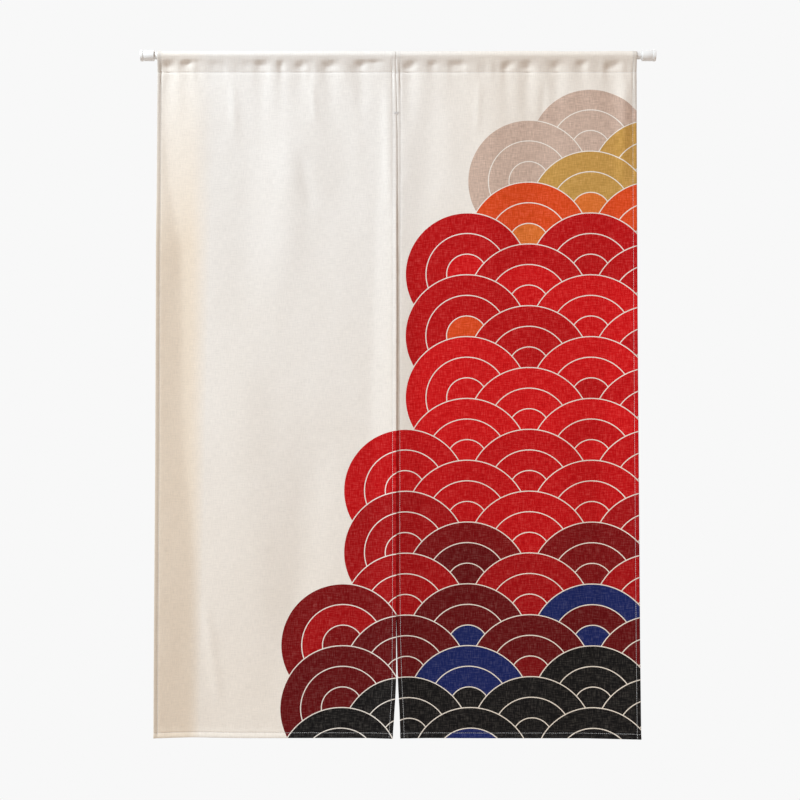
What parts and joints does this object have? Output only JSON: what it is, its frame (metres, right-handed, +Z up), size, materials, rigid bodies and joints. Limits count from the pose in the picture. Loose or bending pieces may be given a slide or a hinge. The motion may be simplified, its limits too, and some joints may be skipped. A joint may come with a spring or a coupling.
{
  "type": "noren curtain on a rod",
  "caption": "Japanese doorway curtain: linen panels side by side with a slit between them, their top casings threaded on a plain white rod with end caps.",
  "frame": {"origin": "centre of the flat outer face of the left rod cap, on the rod's axis", "axes": "+X along the rod from the left cap to the right one, -Y towards the viewer in front of the curtain, +Z up"},
  "size_m": [0.9, 0.0317, 1.2017],
  "materials": {
    "linen_cloth": "matte",
    "rod_enamel": "satin",
    "cap_plastic": "matte"
  },
  "bodies": {
    "root": {"panel_left": "linen_cloth", "panel_right": "linen_cloth", "rod": "rod_enamel", "cap_left": "cap_plastic", "cap_right": "cap_plastic"}
  },
  "joints": []
}
